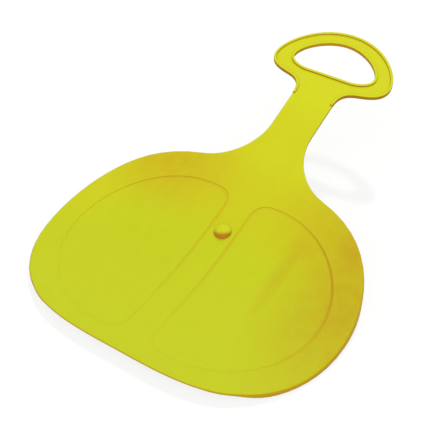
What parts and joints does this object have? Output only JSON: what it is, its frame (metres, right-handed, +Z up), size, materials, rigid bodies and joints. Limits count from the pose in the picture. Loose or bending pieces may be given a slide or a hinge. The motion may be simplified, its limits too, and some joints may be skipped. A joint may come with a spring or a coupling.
{
  "type": "snow slider",
  "caption": "Flat moulded snow slider: a rounded plate with seats outlined by shallow grooves, side skirts, an upswept neck ending in a D-shaped grip, and a domed plug in its spine.",
  "frame": {"origin": "on the ground, under the middle of the slider's bounding box", "axes": "+X towards the rider's right, +Y from the rear edge to the grip, +Z up"},
  "size_m": [0.4, 0.5437, 0.1205],
  "materials": {
    "pan_plastic": "satin",
    "plug_plastic": "satin"
  },
  "bodies": {
    "root": {"pan": "pan_plastic", "centre_plug": "plug_plastic"}
  },
  "joints": []
}
